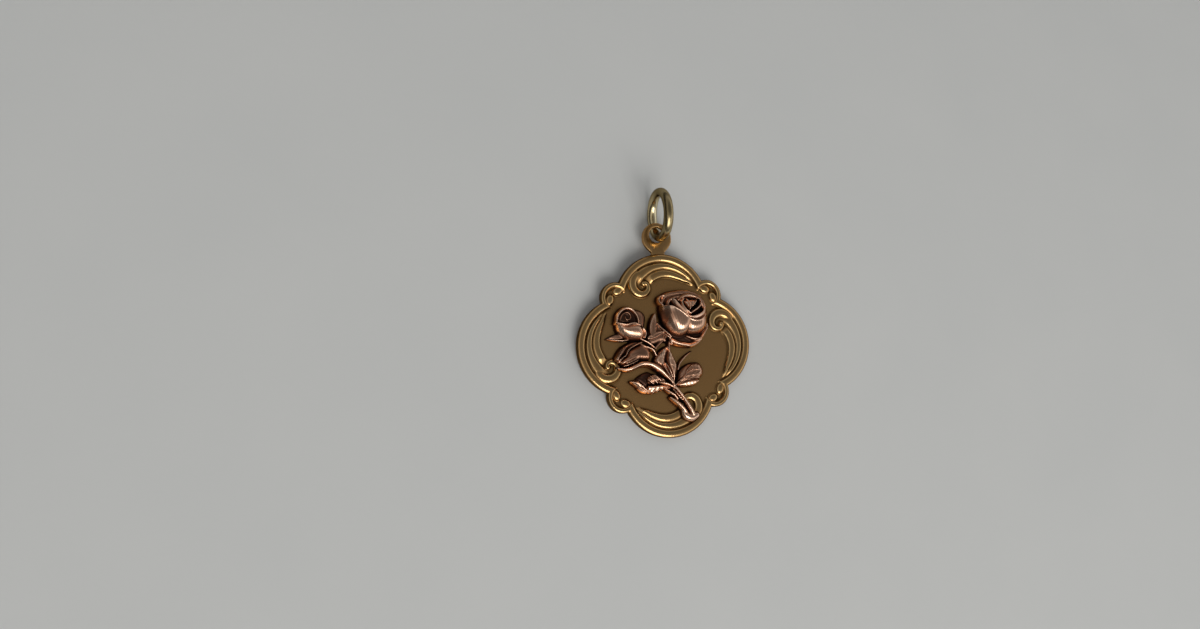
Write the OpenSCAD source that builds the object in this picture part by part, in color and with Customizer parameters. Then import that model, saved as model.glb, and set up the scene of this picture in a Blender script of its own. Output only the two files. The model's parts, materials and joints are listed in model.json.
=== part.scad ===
// Pendant: a lobed gold plate with a lug, a raised spray of a rose and a bud in rose gold, and a jump ring.
// It lies on its back. The ring stands upright in the lug and lifts that end of the plate a little.
// The origin is on the surface that it lies on, under the middle of the part. +Y runs towards the ring.
// In the plate frame, x and y run from the plate's middle and z from its flat back, before it is laid down.

/* [Plate] */
// Distance from the plate's middle to the tip of a large lobe
tip_r = 10; // [9.8:0.1:10.4]
// Radius of a large lobe's round edge
large_r = 5.35; // [5.2:0.05:5.5]
// Distance from the plate's middle to the tip of a small lobe
small_tip_r = 9.23; // [9.1:0.01:9.5]
// Radius of a small lobe's round edge
small_r = 1.73; // [1.65:0.01:1.85]
// Thickness of the plate at its smooth field
field_t = 0.5; // [0.45:0.05:0.6]
// Rise of the rim, the reeds and the curls above the field
relief_h = 0.3; // [0.2:0.05:0.4]
// Width of the raised rim around a large lobe
rim_w = 0.8; // [0.6:0.05:0.9]
// Width of the raised rim around a small lobe
small_rim_w = 0.6; // [0.5:0.05:0.7]

/* [Lug] */
// Distance from the plate's middle to the middle of the lug
lug_y = 11.85; // [11.85:0.05:11.95]
// Outer radius of the lug
lug_r = 1.7; // [1.68:0.01:1.75]
// Thickness of the lug
lug_t = 0.45; // [0.4:0.05:0.45]
// Distance from the plate's middle to the middle of the lug's hole, which lies nearer the lug's outer end
lug_hole_y = 12.2; // [12.1:0.05:12.2]
// Radius of the hole through the lug
lug_hole_r = 0.84; // [0.84:0.01:0.88]
// Width of the neck between the lug and the plate
neck_w = 1.6; // [1.4:0.1:2]

/* [Jump ring] */
// Outer diameter of the ring
ring_d = 5.9; // [5.85:0.05:6]
// Diameter of the ring's wire
wire_d = 0.95; // [0.9:0.01:0.95]
// Distance of the ring's wire from the middle of the lug's hole, to the right
ring_side = 0.1; // [0:0.05:0.15]
// Distance of the ring's wire from the middle of the lug's hole, towards the plate
ring_back = 0.06; // [0.04:0.01:0.08]

/* [Rose spray] */
// Gap between the spray and the plate's field
seat_gap = 0.02; // [0.01:0.01:0.05]
// Factor on every height in the spray
spray_rise = 1; // [0.8:0.05:1.2]

/* [Resting pose] */
// Slope of the plate from its foot up to the ring, in degrees
tilt = 3; // [3:0.05:3.3]

/* [Hidden] */

gold = "#9c8142";
rose_gold = "#9a6650";
pale_gold = "#b5a472";

large_d = tip_r - large_r;
small_d = small_tip_r - small_r;
rim_top = field_t + relief_h;

// The plate lies on the tip of its lowest large lobe and slopes up to the lug.
lift = tip_r * sin(tilt);

// The ring stands upright on the surface, with its wire through the middle of the lug's hole.
ring_mid_r = (ring_d - wire_d) / 2;
ring_z = ring_d / 2;
hole_y = (lug_hole_y - ring_back) * cos(tilt) - (field_t - lug_t / 2) * sin(tilt);
hole_z = (lug_hole_y - ring_back) * sin(tilt) + (field_t - lug_t / 2) * cos(tilt) + lift;
ring_y = hole_y + sqrt(ring_mid_r * ring_mid_r - (ring_z - hole_z) * (ring_z - hole_z));
middle_y = (ring_y + ring_d / 2 - tip_r * cos(tilt)) / 2;

// Reeds inside each large lobe: the outer and inner circle of each crescent, for a lobe that points to +Y
REED_X = 0;
REED_Y = 1;
REED_R = 2;
REED_INNER_X = 3;
REED_INNER_Y = 4;
REED_INNER_R = 5;
REEDS = [
    [0.00, 4.65, 4.38, 0.55, 4.68, 3.62],
    [0.55, 4.68, 3.42, 0.85, 4.30, 2.95]
];
// Reeds are kept only past this height in the lobe's frame
reed_foot = 6.2;
// Curls at the reeds' ends, and beads in the small lobes, for a lobe that points to +Y: x, y and radius
CURLS = [[-3.20, 6.15, 0.55], [-2.15, 6.45, 0.36]];
BEADS = [[-0.52, 7.85, 0.46], [0.52, 7.85, 0.46]];

// Leaves of the spray: base, tip, half width, sideways bow, height at base and tip, and puff of each half
LEAF_BASE = 0;
LEAF_TIP = 1;
LEAF_W = 2;
LEAF_BOW = 3;
LEAF_H0 = 4;
LEAF_H1 = 5;
LEAF_PUFF = 6;
LEAVES = [
    [[-1.45, -0.40], [-6.00, -1.35], 0.95,  0.25, 0.75, 0.55, 0.30],
    [[-0.70, -2.75], [-5.90, -2.35], 0.50,  0.42, 0.85, 0.50, 0.22],
    [[ 0.35, -4.35], [-0.25, -0.15], 0.95, -0.05, 0.95, 0.95, 0.32],
    [[ 0.15, -4.20], [-2.50, -1.65], 0.55,  0.10, 0.85, 0.75, 0.25],
    [[ 0.60, -4.35], [ 4.05, -2.85], 1.10,  0.05, 0.80, 0.60, 0.32],
    [[-2.20, -5.10], [-4.85, -3.65], 0.58,  0.20, 0.55, 0.50, 0.28],
    [[ 0.20, -4.60], [-3.00, -4.15], 0.88, -0.05, 0.80, 0.50, 0.28],
    [[-1.75,  1.05], [-1.15,  3.15], 0.55,  0.00, 0.60, 0.50, 0.22],
    [[-4.10,  0.72], [-6.95,  0.92], 0.24, -0.06, 0.70, 0.45, 0.12],
    [[-4.60,  1.60], [-6.30,  1.75], 0.42,  0.00, 0.75, 0.40, 0.15],
    [[ 0.35, -0.05], [-0.95,  2.35], 0.26, -0.12, 0.95, 0.80, 0.15]
];

// Petals of the rose and the bud: middle, half length towards the lip, half width, direction of the lip,
// height, rise to the lip and dome
PETAL_MID = 0;
PETAL_A = 1;
PETAL_B = 2;
PETAL_DIR = 3;
PETAL_H = 4;
PETAL_RISE = 5;
PETAL_DOME = 6;
PETALS = [
    [[ 2.10,  1.05], 1.35, 1.85, -88, 0.45,  0.05, 0.20],
    [[ 3.40,  1.45], 1.05, 1.35, -72, 0.75, -0.05, 0.35],
    [[ 4.15,  3.60], 0.95, 1.75,  15, 0.70,  0.15, 0.20],
    [[ 2.60,  5.00], 0.95, 1.75,  95, 0.80,  0.10, 0.20],
    [[ 0.75,  4.85], 0.75, 1.15, 130, 0.75,  0.10, 0.25],
    [[-0.25,  5.05], 0.42, 0.55, 150, 0.75,  0.10, 0.20],
    [[ 3.75,  4.75], 0.50, 0.85,  50, 1.15,  0.25, 0.20],
    [[ 2.15,  4.95], 0.45, 0.90, 115, 1.10,  0.35, 0.20],
    [[ 1.00,  3.00], 1.38, 1.85,  52, 1.10,  0.55, 0.35],
    [[ 3.55,  2.45], 1.02, 1.45,  68, 1.00,  0.50, 0.30],
    [[ 3.22,  3.78], 0.46, 1.00, 125, 1.55,  0.20, 0.15],
    [[ 2.22,  3.95], 0.44, 0.85,  30, 1.55,  0.15, 0.15],
    [[ 3.35,  1.90], 1.05, 1.52,  82, 0.90,  0.75, 0.50],
    [[ 0.62,  2.50], 1.28, 2.05,  52, 0.85,  0.90, 0.65],
    [[-4.60,  3.25], 0.95, 1.30, 100, 0.85,  0.05, 0.10],
    [[-3.00,  2.85], 0.60, 0.95,  20, 0.45,  0.10, 0.25],
    [[-4.45,  2.75], 0.50, 1.05,  95, 0.95,  0.25, 0.15],
    [[-4.05,  1.65], 0.98, 1.42, 102, 0.75,  0.55, 0.55],
    [[ 2.15, -7.75], 0.62, 1.15, -70, 0.45,  0.15, 0.20]
];

// Stems: each runs straight from one point to the next, with a half width and a height
STEM_FROM = 0;
STEM_TO = 1;
STEM_R = 2;
STEM_H = 3;
STEMS = [
    [[-3.10,  0.75], [-1.40, -0.30], 0.30, 0.62],
    [[-1.40, -0.30], [-0.60, -1.40], 0.30, 0.62],
    [[ 0.30,  0.60], [ 0.25, -0.60], 0.28, 0.60],
    [[ 0.35, -4.20], [ 1.15, -5.30], 0.38, 0.85],
    [[ 1.15, -5.30], [ 2.20, -7.60], 0.36, 0.80],
    [[-0.45, -5.00], [ 0.90, -6.80], 0.28, 0.66],
    [[ 0.90, -6.80], [ 1.60, -7.60], 0.28, 0.66],
    [[ 0.90, -2.50], [ 1.45, -1.55], 0.22, 0.50],
    [[ 1.45, -1.55], [ 2.90, -0.85], 0.22, 0.45]
];

// Steps of a leaf's or petal's section, from its foot inwards: share of the half width and of the height
SECTION = [[1, 0], [1, 0.55], [0.94, 0.85], [0.84, 1], [0.6, 1], [0.35, 1], [0.08, 1]];
// Share of a leaf's length that its blunt ends take off
leaf_end = 0.05;
// Raised lip of a petal: its height and how far round the petal it reaches from the lip's direction
lip_h = 0.07;
lip_reach = -0.2;
// Points around a petal, and along each side of a leaf
petal_points = 14;
leaf_points = 7;
// Step that the points of leaves and petals are rounded to
point_step = 0.001;

// Half width of a leaf at share s of its length
function leaf_half(row, s) = row[LEAF_W] * pow(sin(180 * pow(s, 0.8)), 0.75);

// Point of a leaf at share s of its length and share q of its half width, where f scales its height
function leaf_point(row, s, q, f) =
    let (run = row[LEAF_TIP] - row[LEAF_BASE])
    let (side = [-run.y, run.x] / norm(run))
    let (bow = 4 * row[LEAF_BOW] * s * (1 - s))
    let (at = row[LEAF_BASE] + s * run + (bow + q * leaf_half(row, s)) * side)
    let (puff = 4 * row[LEAF_PUFF] * abs(q) * (1 - abs(q)))
    let (top = row[LEAF_H0] + (row[LEAF_H1] - row[LEAF_H0]) * s + puff)
    [at.x, at.y, spray_rise * f * top];

// Loop of points around a leaf at one step of its section
function leaf_loop(row, step) = [
    for (side = [-1, 1]) for (n = [0:leaf_points])
        let (along = side < 0 ? n / leaf_points : 1 - n / leaf_points)
        leaf_point(row, leaf_end + (1 - 2 * leaf_end) * along, side * step.x, step.y)
];

// Loop of points around a petal at one step of its section
function petal_loop(row, step) = [
    for (n = [0:petal_points - 1])
        let (turn = 360 * n / petal_points)
        let (u = step.x * cos(turn))
        let (v = step.x * sin(turn))
        let (d = row[PETAL_DIR])
        let (lip = step.x > 0.8 && cos(turn) > lip_reach ? lip_h : 0)
        let (dome = row[PETAL_DOME] * (1 - step.x * step.x))
        let (top = row[PETAL_H] + row[PETAL_RISE] * (u + 1) / 2 + dome + lip)
        [
            row[PETAL_MID].x + u * row[PETAL_A] * cos(d) - v * row[PETAL_B] * sin(d),
            row[PETAL_MID].y + u * row[PETAL_A] * sin(d) + v * row[PETAL_B] * cos(d),
            spray_rise * step.y * top
        ]
];

// Lays a thing of the plate frame down on the surface
module lay_down() {
    translate([0, -middle_y, lift]) rotate([tilt, 0, 0]) children();
}

// Outline of the plate, with its large and small lobes drawn in by their own insets
module outline(large_inset = 0, small_inset = 0) {
    for (turn = [0:90:270]) {
        rotate(turn) translate([0, large_d]) circle(r = large_r - large_inset, $fn = 96);
        rotate(turn + 45) translate([0, small_d]) circle(r = small_r - small_inset, $fn = 48);
    }
}

// Rim and reeds as seen from above
module relief() {
    difference() {
        outline();
        outline(rim_w, small_rim_w);
    }
    for (turn = [0:90:270]) rotate(turn) for (row = REEDS) reed(row);
}

// One crescent between an outer and an inner circle, past the reeds' foot
module reed(row) {
    intersection() {
        difference() {
            translate([row[REED_X], row[REED_Y]]) circle(r = row[REED_R], $fn = 96);
            translate([row[REED_INNER_X], row[REED_INNER_Y]]) circle(r = row[REED_INNER_R], $fn = 96);
        }
        translate([-large_r, reed_foot]) square([2 * large_r, large_r]);
    }
}

// Low round boss whose top is level with the rim
module boss(row) {
    dome_r = (row.z * row.z + relief_h * relief_h) / (2 * relief_h);
    intersection() {
        translate([row.x, row.y, rim_top - dome_r]) sphere(r = dome_r, $fn = 48);
        translate([row.x, row.y, field_t / 2]) cylinder(r = row.z + 0.1, h = rim_top, $fn = 32);
    }
}

module lug() {
    translate([0, 0, field_t - lug_t]) difference() {
        union() {
            translate([0, lug_y, 0]) cylinder(r = lug_r, h = lug_t, $fn = 64);
            translate([-neck_w / 2, tip_r - 1, 0]) cube([neck_w, lug_y - tip_r, lug_t]);
        }
        translate([0, lug_hole_y, -1]) cylinder(r = lug_hole_r, h = lug_t + 2, $fn = 48);
    }
}

module plate() {
    color(gold) lay_down() {
        linear_extrude(field_t) outline();
        translate([0, 0, field_t / 2]) linear_extrude(rim_top - field_t / 2) relief();
        for (turn = [0:90:270]) rotate(turn) {
            for (row = CURLS) boss(row);
            rotate(45) for (row = BEADS) boss(row);
        }
        lug();
    }
}

// Closed solid over loops of points, each one inside or above the loop before it
module mound(loops) {
    n = len(loops[0]);
    last = n * (len(loops) - 1);
    points = [for (loop = loops) for (p = loop) [for (c = p) round(c / point_step) * point_step]];
    back = [for (i = [0:n - 1]) i];
    cap = [for (i = [n - 1:-1:0]) last + i];
    walls = [
        for (j = [0:n:last - n]) for (i = [0:n - 1])
            let (a = j + i, b = j + (i + 1) % n)
            each [[a, a + n, b + n], [a, b + n, b]]
    ];
    polyhedron(points = points, faces = concat([back, cap], walls), convexity = 6);
}

// Round-backed stem between two points of the field
module stem(row) {
    hull() for (end = [row[STEM_FROM], row[STEM_TO]]) translate(end) intersection() {
        scale([1, 1, spray_rise * row[STEM_H] / row[STEM_R]]) sphere(r = row[STEM_R], $fn = 18);
        translate([-row[STEM_R], -row[STEM_R], 0]) cube([2 * row[STEM_R], 2 * row[STEM_R], 2]);
    }
}

module rose_spray() {
    color(rose_gold) lay_down() translate([0, 0, field_t + seat_gap]) difference() {
        union() {
            for (row = LEAVES) mound([for (step = SECTION) leaf_loop(row, step)]);
            for (row = PETALS) mound([for (step = SECTION) petal_loop(row, step)]);
            for (row = STEMS) stem(row);
        }
        // The back is cut out where the spray lies over the rim, the reeds and the curls
        translate([0, 0, -relief_h]) linear_extrude(2 * relief_h) offset(delta = seat_gap) {
            relief();
            for (turn = [0:90:270]) rotate(turn) for (row = CURLS)
                translate([row.x, row.y]) circle(r = row.z, $fn = 32);
        }
    }
}

module jump_ring() {
    color(pale_gold) translate([ring_side, ring_y - middle_y, ring_z]) rotate([0, 90, 0])
        rotate_extrude($fn = 64) translate([ring_mid_r, 0]) circle(d = wire_d, $fn = 32);
}

plate();
rose_spray();
jump_ring();
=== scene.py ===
"""Pendant: a struck gold plate with a soldered lug, a rose-gold spray and a jump ring, lying on paper.

Lengths are in millimetres in the plate's own frame (x and y from its middle, +y towards the ring, z from its
back) until placed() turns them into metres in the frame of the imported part.
"""
import json
import math

import bpy
import numpy as np
from mathutils import Matrix, Vector


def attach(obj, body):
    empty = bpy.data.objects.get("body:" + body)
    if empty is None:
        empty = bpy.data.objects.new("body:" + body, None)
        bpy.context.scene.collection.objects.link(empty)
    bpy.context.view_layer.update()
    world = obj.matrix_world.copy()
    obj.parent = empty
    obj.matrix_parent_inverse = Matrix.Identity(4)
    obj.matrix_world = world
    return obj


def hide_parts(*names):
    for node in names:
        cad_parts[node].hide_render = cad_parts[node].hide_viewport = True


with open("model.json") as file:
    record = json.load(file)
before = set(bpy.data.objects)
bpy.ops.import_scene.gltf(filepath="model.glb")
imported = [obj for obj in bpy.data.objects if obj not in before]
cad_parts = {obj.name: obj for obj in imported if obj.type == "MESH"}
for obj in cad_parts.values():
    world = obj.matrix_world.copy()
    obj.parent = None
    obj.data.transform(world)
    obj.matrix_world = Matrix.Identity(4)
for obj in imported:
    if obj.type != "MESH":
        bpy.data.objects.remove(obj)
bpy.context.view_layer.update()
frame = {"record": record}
MM = 0.001

# Resting pose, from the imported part's mounts
MOUNTS = {mount["name"]: mount for mount in frame["record"]["mounts"]}
PLATE_AT = np.array(MOUNTS["plate_back"]["pos_m"])
PLATE_Z = -np.array(MOUNTS["plate_back"]["axis"])
PLATE_X = np.array(MOUNTS["ring_eye"]["axis"])
PLATE_Y = np.cross(PLATE_Z, PLATE_X)
RING_AT = np.array(MOUNTS["ring_eye"]["pos_m"])

# Plate
TIP_R = 10.0
LARGE_R = 5.35
SMALL_TIP_R = 9.23
SMALL_R = 1.73
FIELD_T = 0.5
RELIEF_H = 0.3
RIM_W = 0.93
SMALL_RIM_W = 0.62
# Radius inside which there is no rim
FIELD_R = 7.05
LARGE_D = TIP_R - LARGE_R
SMALL_D = SMALL_TIP_R - SMALL_R

# Lug: a round eye, a neck whose half width grows from the plate's edge to NECK_TOP, and a foot on the plate
LUG_Y = 11.85
LUG_R = 1.7
LUG_T = 0.45
LUG_HOLE_Y = 12.2
LUG_HOLE_R = 0.84
NECK_LOW = 0.62
NECK_HIGH = 1.55
NECK_TOP = LUG_Y - 0.5
FOOT_LOW = TIP_R - 0.75
FOOT_Y = 9.2
FOOT_R = 1.05

# Jump ring: its wire's width in the ring's plane and across it
RING_D = 5.885
WIRE_D = 0.94
WIRE_W = 1.08

# Toning and painted shade: 0 on a polished crest, 1 where they are full, and this on plain metal
BODY_TONE = 0.3

# Camera: a phone's main lens close above the paper, in the plate's frame
LENS = 26.0
SENSOR = 36.0
CAMERA_AT = (-35.0, -5.9, 88.1)
CAMERA_LOOK = (0.301, 0.103, -0.948)
CAMERA_UP = (0.036, 0.992, 0.119)


def directed(v):
    """Turns a direction of the plate's frame into the part's frame."""
    return v[0] * PLATE_X + v[1] * PLATE_Y + v[2] * PLATE_Z


def placed(points):
    """Places points of the plate's frame, in mm, as metres in the part's frame."""
    points = np.asarray(points, float)
    x, y, z = points[:, :1], points[:, 1:2], points[:, 2:]
    return PLATE_AT + MM * (x * PLATE_X + y * PLATE_Y + z * PLATE_Z)


def smooth(a, b, x):
    """Smooth step from 0 at a to 1 at b."""
    t = np.clip((x - a) / (b - a), 0.0, 1.0)
    return t * t * (3 - 2 * t)


def turned(x, y, degrees):
    """Coordinates of a point once the thing below it is turned back by that angle."""
    c, s = math.cos(math.radians(degrees)), math.sin(math.radians(degrees))
    return x * c + y * s, y * c - x * s


SPAN_STEPS = 6


def curve_through(points, per_span=SPAN_STEPS):
    """Smooth curve through a few rows of numbers (Catmull-Rom), as a denser table."""
    p = np.asarray(points, float)
    p = np.vstack([2 * p[0] - p[1], p, 2 * p[-1] - p[-2]])
    t = np.arange(per_span)[:, None] / per_span
    spans = []
    for a, b, c, d in zip(p[:-3], p[1:-2], p[2:-1], p[3:]):
        square, cube = 2 * a - 5 * b + 4 * c - d, 3 * b - a - 3 * c + d
        spans.append(0.5 * (2 * b + (c - a) * t + square * t**2 + cube * t**3))
    return np.vstack(spans + [p[-2:-1]])


def closed_curve(points):
    """Smooth closed curve through a few points."""
    p = list(points)
    return curve_through(p[-2:] + p + p[:2])[2 * SPAN_STEPS:-SPAN_STEPS]


def from_segment(x, y, a, b):
    """Share of the way from a to b that lies nearest each point, and the point's offset from there."""
    run = b[:2] - a[:2]
    s = np.clip(((x - a[0]) * run[0] + (y - a[1]) * run[1]) / max(run @ run, 1e-9), 0, 1)
    return s, x - a[0] - s * run[0], y - a[1] - s * run[1]


def round_top(q, power=2.0):
    """Height 1 at the middle of a rounded section, falling to 0 at q = 1. A higher power is flatter on top."""
    return np.sqrt(np.clip(1 - q**power, 0, 1))


def ridge(x, y, table, power=2.0):
    """Height of a rounded ridge along a curve whose rows are x, y, half width, height."""
    best = np.zeros_like(x)
    for a, b in zip(table[:-1], table[1:]):
        s, dx, dy = from_segment(x, y, a, b)
        wide = a[2] + s * (b[2] - a[2])
        high = a[3] + s * (b[3] - a[3])
        best = np.maximum(best, high * round_top(np.hypot(dx, dy) / wide, power))
    return best


# Struck relief of the plate

# Rim's section: where its top lies, how flat it is and how steep its sides are
RIM_TOP = 0.92
RIM_POWER = 2.3
RIM_SIDES = 0.55
# Power of the rounded sections of scrolls and husks, and of reeds
STRUCK_POWER = 2.4
REED_POWER = 2.6
# Grooves of a large lobe that points to +y, about GROOVE_MID: angle, then how far away the outer, middle and
# inner groove lie
GROOVE_MID = (0.2, 4.5)
GROOVES = np.array([
    [22, 4.26, 4.24, 4.20],
    [30, 4.31, 4.20, 3.95],
    [45, 4.38, 3.92, 3.34],
    [60, 4.44, 3.86, 3.08],
    [75, 4.52, 3.84, 2.97],
    [90, 4.57, 3.81, 2.88],
    [105, 4.62, 3.73, 2.75],
    [120, 4.66, 3.58, 2.62],
    [135, 4.68, 3.50, 2.55],
    [150, 4.68, 3.48, 2.55],
])
# Each reed: its height, and the two angles between which it fades out into the scroll at its left end
REEDS = ((0.96, 126, 146), (0.86, 112, 128))
# Angle up to which the reeds rise at their right end, and the widths between which a thin reed rises
REED_START = 34
REED_THIN = (0.10, 0.50)
# Scroll at the reeds' left end, about SCROLL_MID: angle, distance, half width, height
SCROLL_STEPS = 4
SCROLL_MID = (-2.1, 6.62)
SCROLL = (
    (95, 1.32, 0.30, 0.80),
    (125, 1.33, 0.46, 0.95),
    (160, 1.24, 0.50, 1.00),
    (205, 1.14, 0.48, 1.00),
    (250, 1.02, 0.42, 0.95),
    (295, 0.85, 0.34, 0.85),
    (340, 0.62, 0.28, 0.80),
    (385, 0.42, 0.26, 0.85),
    (430, 0.18, 0.32, 1.00),
)
# Pair of husks in a small lobe that points to +y: x, y, half length, half width, turn, height
HUSKS = ((-0.66, 7.86, 0.66, 0.47, 22, 0.9), (0.70, 7.86, 0.62, 0.46, -24, 0.9))
# Ornaments of a lobe that points to +y: how deep they start, as a share of the rim's width, then their lowest y
# and half width, in a large and in a small lobe
PART_DEPTH = 0.9
LARGE_PART = (4.6, 4.6)
SMALL_PART = (6.8, 2.0)


def depth_in_lobes(x, y):
    """Share of the rim's width that a point lies inside the outline: 0 at the edge, 1 in the inner groove."""
    best = (FIELD_R - np.hypot(x, y)) / SMALL_RIM_W
    large, small = (LARGE_D, LARGE_R, RIM_W), (SMALL_D, SMALL_R, SMALL_RIM_W)
    for k in range(8):
        away, radius, wide = small if k % 2 else large
        u, v = turned(x, y, 45 * k)
        best = np.maximum(best, (radius - np.hypot(u, v - away)) / wide)
    return best


def reeds(u, v):
    """Height 0 to 1 of the two reeds of the lobe that points to +v."""
    r = np.hypot(u - GROOVE_MID[0], v - GROOVE_MID[1])
    angle = np.degrees(np.arctan2(v - GROOVE_MID[1], u - GROOVE_MID[0]))
    total = np.zeros_like(u)
    for n, (high, fade, end) in enumerate(REEDS):
        outer = np.interp(angle, GROOVES[:, 0], GROOVES[:, 1 + n])
        inner = np.interp(angle, GROOVES[:, 0], GROOVES[:, 2 + n])
        t = (2 * r - outer - inner) / np.maximum(outer - inner, 1e-3)
        thin = smooth(*REED_THIN, outer - inner)
        ends = smooth(GROOVES[0, 0], REED_START, angle) * (1 - smooth(fade, end, angle))
        total = np.maximum(total, high * round_top(np.abs(t), REED_POWER) * thin * ends)
    return total


def scroll_table():
    """The scroll's curve as rows of x, y, half width, height."""
    rows = []
    for angle, away, wide, high in curve_through(SCROLL, SCROLL_STEPS):
        a = math.radians(angle)
        rows.append((SCROLL_MID[0] + away * math.cos(a), SCROLL_MID[1] + away * math.sin(a), wide, high))
    return np.array(rows)


def plate_relief(x, y):
    """Height of the struck relief above the field, in mm."""
    depth = depth_in_lobes(x, y)
    across = np.abs(2 * np.clip(depth, 0, 1) - RIM_TOP)
    high = np.where(depth < 1, np.clip(1 - across**RIM_POWER, 0, 1) ** RIM_SIDES, 0.0)
    scroll = scroll_table()
    for k in range(8):
        lowest, half = SMALL_PART if k % 2 else LARGE_PART
        u, v = turned(x, y, 45 * k)
        near = (depth > PART_DEPTH) & (v > lowest) & (np.abs(u) < half)
        u, v = u[near], v[near]
        if k % 2:
            for cx, cy, long, wide, turn, top in HUSKS:
                s, t = turned(u - cx, v - cy, turn)
                husk = top * round_top(np.hypot(s / long, t / wide), STRUCK_POWER)
                high[near] = np.maximum(high[near], husk)
        else:
            part = np.maximum(reeds(u, v), ridge(u, v, scroll, STRUCK_POWER))
            high[near] = np.maximum(high[near], part)
    return RELIEF_H * high


def outline_radius(angle):
    """Distance from the plate's middle to its outline in each direction."""
    best = np.zeros_like(angle)
    for k in range(8):
        away, radius = (LARGE_D, LARGE_R) if k % 2 == 0 else (SMALL_D, SMALL_R)
        d = angle - k * math.pi / 4
        under = radius**2 - (away * np.sin(d)) ** 2
        hit = away * np.cos(d) + np.sqrt(np.maximum(under, 0))
        best = np.maximum(best, np.where((under > 0) & (np.cos(d) > 0), hit, 0))
    return best
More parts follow.
